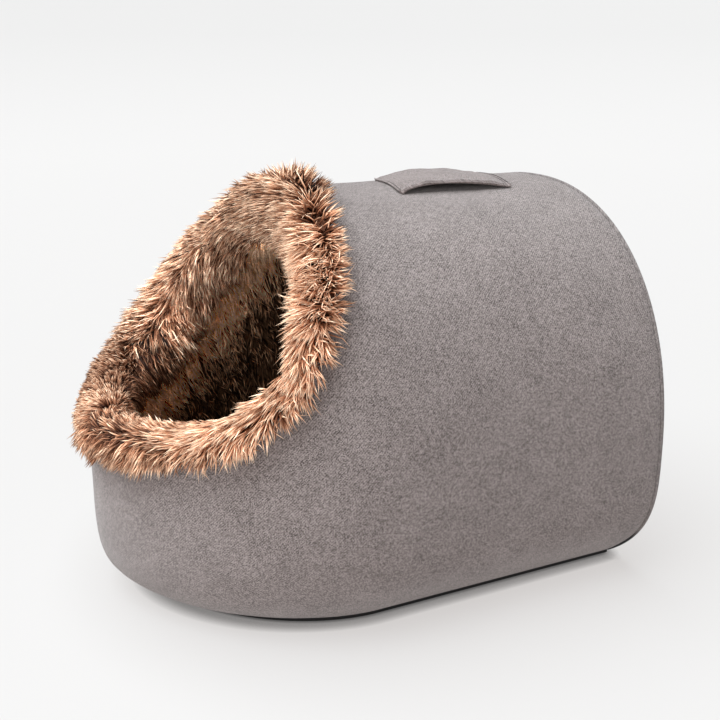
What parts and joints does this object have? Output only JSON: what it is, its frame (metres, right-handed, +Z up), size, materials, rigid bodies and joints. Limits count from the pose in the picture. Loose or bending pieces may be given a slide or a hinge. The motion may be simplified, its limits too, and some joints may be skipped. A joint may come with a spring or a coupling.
{
  "type": "dome pet bed",
  "caption": "Dome pet bed: a padded cave of grey woven cloth with a slanted mouth edged in long fur, fur walls, a floor pad, a roof strap and a black sole.",
  "frame": {"origin": "centre of the sole's underside, under the middle of the body's length", "axes": "+Z up, +Y from the mouth to the back, +X to the bed's side"},
  "size_m": [0.466, 0.5506, 0.42],
  "materials": {
    "woven_cloth": "matt fine twill of light and dark grey yarn",
    "black_sole": "plain black cloth with a slight sheen",
    "long_fur": "long plush pile, dark at the roots and pale at the tips",
    "short_fur": "shorter brown pile",
    "pad_fur": "short dark brown pile"
  },
  "bodies": {
    "root": {"outer_shell": "woven_cloth", "back_panel": "woven_cloth", "back_welt": "woven_cloth", "sole": "black_sole", "carry_strap": "woven_cloth", "fur_collar": "long_fur", "fur_lining": "short_fur", "fur_back": "short_fur", "floor_pad": "pad_fur"}
  },
  "joints": []
}
